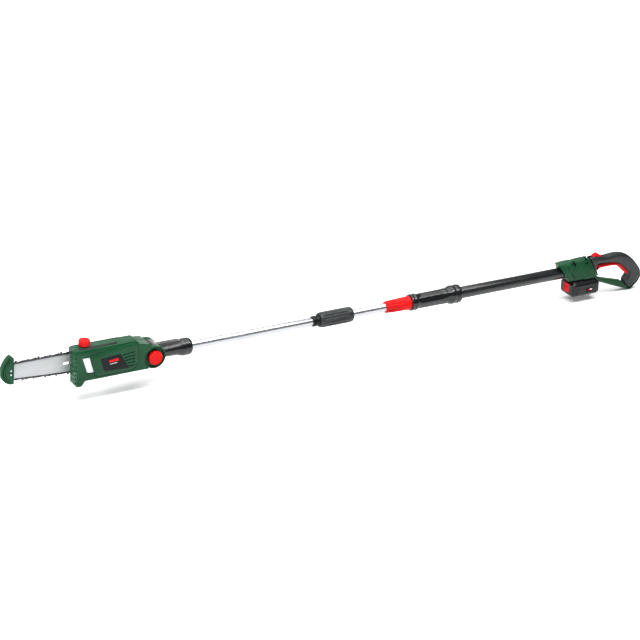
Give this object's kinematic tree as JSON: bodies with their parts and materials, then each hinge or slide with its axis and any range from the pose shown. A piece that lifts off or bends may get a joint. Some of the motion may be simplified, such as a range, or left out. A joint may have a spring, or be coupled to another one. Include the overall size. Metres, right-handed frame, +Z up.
{
  "type": "telescoping pole saw",
  "caption": "Battery pole saw: chain saw head on a tilting joint, two-piece telescopic pole with twist locks, loop handle with trigger and clip-on battery.",
  "frame": {"origin": "middle of the bottom of the whole object's box, with the pole straight and level", "axes": "+X along the pole from the saw head to the handle, +Z up, -Y towards the motor side of the head"},
  "size_m": [2.4596, 0.1002, 0.209],
  "materials": {
    "green_plastic": "satin moulded, fine grain",
    "red_plastic": "satin moulded",
    "black_plastic": "semi-gloss moulded",
    "soft_grip_rubber": "fine matt grain",
    "aluminium_tube": "clear anodised, drawn",
    "bar_steel": "satin ground",
    "chain_steel": "dark, oiled",
    "steel": "machined",
    "motor_steel": "plated can",
    "pinion_brass": "machined",
    "clear_plastic": "translucent, frosted",
    "natural_nylon": "natural, matt",
    "circuit_green": "solder mask",
    "cell_blue": "shrink sleeve"
  },
  "bodies": {
    "rear_pole": {"rear_tube": "black_plastic", "lock_collet": "natural_nylon", "front_grip": "soft_grip_rubber", "grip_flange": "black_plastic", "handle_shell_left": "green_plastic", "handle_shell_right": "green_plastic", "soft_grip": "soft_grip_rubber", "switch_module": "black_plastic", "control_board": "circuit_green", "battery_terminals": "black_plastic"},
    "lock_sleeve": {"lock_sleeve": "red_plastic"},
    "mid_pole": {"mid_tube": "aluminium_tube", "slide_bush": "natural_nylon", "coupling_socket": "black_plastic", "connector_socket": "black_plastic"},
    "coupling_sleeve": {"coupling_sleeve": "soft_grip_rubber"},
    "front_pole": {"front_tube": "aluminium_tube", "coupling_neck": "black_plastic", "connector_plug": "black_plastic", "head_adapter": "black_plastic", "pivot_bolt": "steel"},
    "head": {"head_shell_left": "green_plastic", "head_shell_right": "green_plastic", "side_panel": "green_plastic", "label_plate": "black_plastic", "oil_window": "clear_plastic", "guide_bar": "bar_steel", "saw_chain": "chain_steel", "bar_tip_guard": "green_plastic", "guard_screw_1": "steel", "guard_screw_2": "steel", "spindle_bearing": "steel", "gearbox_plate": "aluminium_tube", "motor_can": "motor_steel", "oil_tank": "natural_nylon", "oil_pump": "black_plastic", "oil_tube": "natural_nylon", "bar_stud": "steel", "chain_tensioner": "steel", "pivot_cap": "black_plastic"},
    "tilt_button": {"tilt_lock_button": "red_plastic", "tilt_lock_ring": "steel"},
    "oil_cap_seal": {"oil_cap_seal": "soft_grip_rubber"},
    "oil_cap": {"oil_cap": "red_plastic"},
    "sprocket_cover": {"sprocket_cover": "black_plastic"},
    "cover_knob": {"cover_knob": "black_plastic"},
    "sprocket": {"sprocket_spindle": "steel", "driven_gear": "steel", "drive_sprocket": "steel"},
    "motor": {"motor_rotor": "steel", "motor_pinion": "pinion_brass"},
    "trigger": {"trigger": "red_plastic"},
    "lock_off": {"lock_off_slider": "red_plastic"},
    "battery": {"battery_lower_shell": "black_plastic", "battery_upper_shell": "black_plastic", "battery_cell_pack": "cell_blue", "battery_gauge_window": "clear_plastic"},
    "battery_release": {"battery_release_button": "red_plastic"},
    "gauge_button": {"battery_gauge_button": "red_plastic"}
  },
  "joints": [
    {"name": "telescope_slide", "type": "slide", "parent": "rear_pole", "child": "mid_pole", "axis": [-1, 0, 0], "range_m": [-0.115, 0.33]},
    {"name": "telescope_lock_turn", "type": "hinge", "parent": "rear_pole", "child": "lock_sleeve", "pos_m": [0.20681, 0.00005, 0.11], "axis": [1, 0, 0], "range_deg": [0, 90]},
    {"name": "coupling_turn", "type": "hinge", "parent": "mid_pole", "child": "coupling_sleeve", "pos_m": [-0.03319, 0.00005, 0.11], "axis": [1, 0, 0], "range_deg": [0, 90]},
    {"name": "front_pole_release", "type": "slide", "parent": "mid_pole", "child": "front_pole", "axis": [-1, 0, 0], "range_m": [0, 0.07]},
    {"name": "head_tilt", "type": "hinge", "parent": "front_pole", "child": "head", "pos_m": [-0.72019, 0.00005, 0.113], "axis": [0, -1, 0], "range_deg": [0, 60]},
    {"name": "tilt_button_press", "type": "slide", "parent": "head", "child": "tilt_button", "axis": [0, 1, 0], "range_m": [0, 0.004], "stiffness_N_per_m": 800, "springref_m": -0.004},
    {"name": "oil_cap_lift", "type": "slide", "parent": "head", "child": "oil_cap_seal", "axis": [0, 0, 1], "range_m": [0, 0.03]},
    {"name": "oil_cap_turn", "type": "hinge", "parent": "oil_cap_seal", "child": "oil_cap", "pos_m": [-0.95619, -0.01495, 0.2], "axis": [0, 0, 1], "continuous": true},
    {"name": "cover_off", "type": "slide", "parent": "head", "child": "sprocket_cover", "axis": [0, 1, 0], "range_m": [0, 0.04]},
    {"name": "cover_knob_turn", "type": "hinge", "parent": "sprocket_cover", "child": "cover_knob", "pos_m": [-0.97119, 0.00005, 0.1275], "axis": [0, 1, 0], "continuous": true},
    {"name": "sprocket_spin", "type": "hinge", "parent": "head", "child": "sprocket", "pos_m": [-0.93619, 0.00005, 0.1265], "axis": [0, 1, 0], "continuous": true},
    {"name": "motor_spin", "type": "hinge", "parent": "head", "child": "motor", "pos_m": [-0.90494, 0.00005, 0.1265], "axis": [0, 1, 0], "continuous": true},
    {"name": "trigger_pull", "type": "hinge", "parent": "rear_pole", "child": "trigger", "pos_m": [1.18781, 0.00005, 0.059], "axis": [0, 1, 0], "range_deg": [0, 2.2], "stiffness_Nm_per_rad": 6, "springref_deg": -2.86},
    {"name": "lock_off_slide", "type": "slide", "parent": "rear_pole", "child": "lock_off", "axis": [-1, 0, 0], "range_m": [0, 0.004], "stiffness_N_per_m": 400, "springref_m": -0.003},
    {"name": "battery_slide", "type": "slide", "parent": "rear_pole", "child": "battery", "axis": [-1, 0, 0], "range_m": [0, 0.12]},
    {"name": "battery_release_press", "type": "slide", "parent": "battery", "child": "battery_release", "axis": [1, 0, 0], "range_m": [0, 0.0025], "stiffness_N_per_m": 900, "springref_m": -0.003},
    {"name": "gauge_button_press", "type": "slide", "parent": "battery", "child": "gauge_button", "axis": [0, 1, 0], "range_m": [0, 0.001], "stiffness_N_per_m": 500, "springref_m": -0.001}
  ],
  "couplings": [
    {"joint": "motor_spin", "follows": "sprocket_spin", "ratio": -4}
  ]
}
